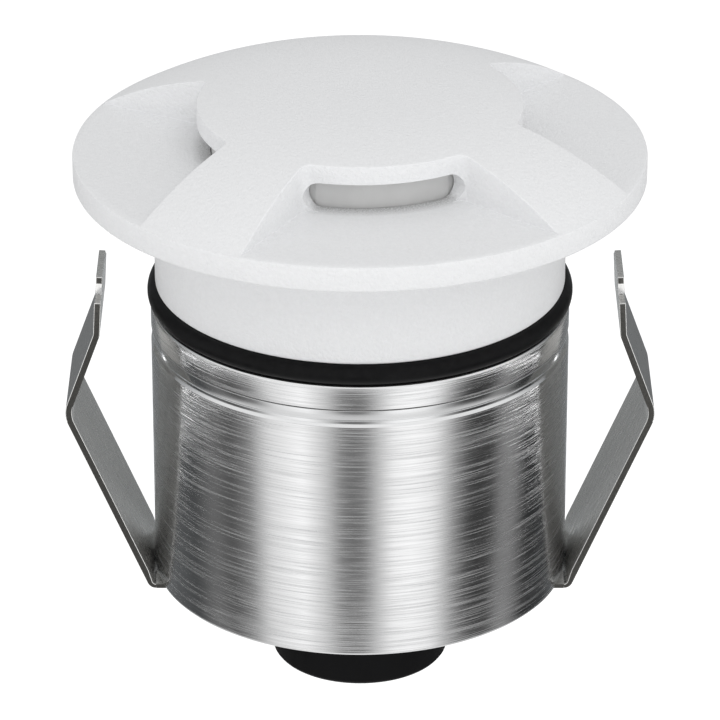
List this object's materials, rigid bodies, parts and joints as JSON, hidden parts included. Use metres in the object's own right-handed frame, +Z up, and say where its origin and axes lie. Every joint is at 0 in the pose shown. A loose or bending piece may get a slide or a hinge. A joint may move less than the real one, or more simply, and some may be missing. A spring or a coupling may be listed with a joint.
{
  "type": "in-ground light",
  "caption": "Round recessed ground light with a low domed white cap, side light outlets, a brushed steel can, a spring strap and a cable gland.",
  "frame": {"origin": "on the light's axis, level with the underside of the cap's flange, which is the surface that the light is set into", "axes": "+Z up out of the ground along the axis; +X through the right-hand spring arm; the picture looks along +Y"},
  "size_m": [0.0676, 0.065, 0.0709],
  "materials": {
    "white_coat": "fine-textured white powder coat on cast metal",
    "opal": "opal light-diffusing plastic, satin",
    "clear_silicone": "translucent silicone rubber",
    "turned_aluminium": "turned, with fine lathe rings",
    "black_rubber": "smooth moulded rubber, satin",
    "brushed_steel": "stainless steel, brushed round the axis",
    "spring_steel": "rolled spring steel strip, satin",
    "thermal_silicone": "soft filled silicone sheet",
    "white_solder_mask": "white solder mask on an aluminium board",
    "phosphor": "phosphor-filled resin in a white package",
    "plain_steel": "zinc-plated steel",
    "white_plastic": "moulded white reflector plastic",
    "brass": "turned brass",
    "green_laminate": "green solder mask on glass laminate",
    "capacitor_sleeve": "shrunk plastic sleeve",
    "ferrite": "sintered ferrite, matte",
    "copper_wire": "enamelled copper winding",
    "black_epoxy": "moulded epoxy",
    "terminal_plastic": "moulded polyamide",
    "lead_insulation": "extruded lead insulation",
    "gland_nylon": "black moulded polyamide, satin"
  },
  "bodies": {
    "housing": {"can": "brushed_steel", "heat_sink": "turned_aluminium", "snap_ring": "spring_steel", "thermal_pad": "thermal_silicone", "led_board": "white_solder_mask", "led_chips": "phosphor", "board_screws": "plain_steel", "reflector": "white_plastic", "driver_spacers": "brass", "driver_board": "green_laminate", "driver_screws": "plain_steel", "capacitor": "capacitor_sleeve", "inductor_core": "ferrite", "inductor_winding": "copper_wire", "rectifier": "black_epoxy", "driver_chip": "black_epoxy", "terminal_block": "terminal_plastic", "terminal_screws": "plain_steel", "led_leads": "lead_insulation", "spring_strap": "spring_steel", "gland_body": "gland_nylon", "lock_nut": "gland_nylon", "nut_washer": "black_rubber", "cable_grommet": "black_rubber"},
    "seal": {"neck_seal": "black_rubber"},
    "cap": {"trim_cap": "white_coat", "diffuser": "opal", "diffuser_gasket": "clear_silicone", "retaining_ring": "turned_aluminium"},
    "left_arm": {"left_spring_arm": "spring_steel"},
    "right_arm": {"right_spring_arm": "spring_steel"},
    "gland_slip": {"slip_washer": "plain_steel"},
    "gland_end": {"gland_cap": "gland_nylon"}
  },
  "joints": [
    {"name": "seal_rise", "type": "slide", "parent": "housing", "child": "seal", "axis": [0, 0, 1], "range_m": [0, 0.006]},
    {"name": "cap_unscrew", "type": "hinge", "parent": "seal", "child": "cap", "pos_m": [0, 0, 0], "axis": [0, 0, 1], "range_deg": [0, 1440]},
    {"name": "left_arm_flex", "type": "hinge", "parent": "housing", "child": "left_arm", "pos_m": [-0.02372, 0, -0.04875], "axis": [0, 1, 0], "range_deg": [0, 7.5], "stiffness_Nm_per_rad": 2},
    {"name": "right_arm_flex", "type": "hinge", "parent": "housing", "child": "right_arm", "pos_m": [0.02372, 0, -0.04875], "axis": [0, -1, 0], "range_deg": [0, 7.5], "stiffness_Nm_per_rad": 2},
    {"name": "gland_drop", "type": "slide", "parent": "housing", "child": "gland_slip", "axis": [0, 0, -1], "range_m": [0, 0.0045]},
    {"name": "gland_unscrew", "type": "hinge", "parent": "gland_slip", "child": "gland_end", "pos_m": [0, 0, 0], "axis": [0, 0, -1], "range_deg": [0, 1080]}
  ],
  "couplings": [
    {"joint": "seal_rise", "follows": "cap_unscrew", "m_per_rad": 0.00023873},
    {"joint": "gland_drop", "follows": "gland_unscrew", "m_per_rad": 0.00023873}
  ]
}
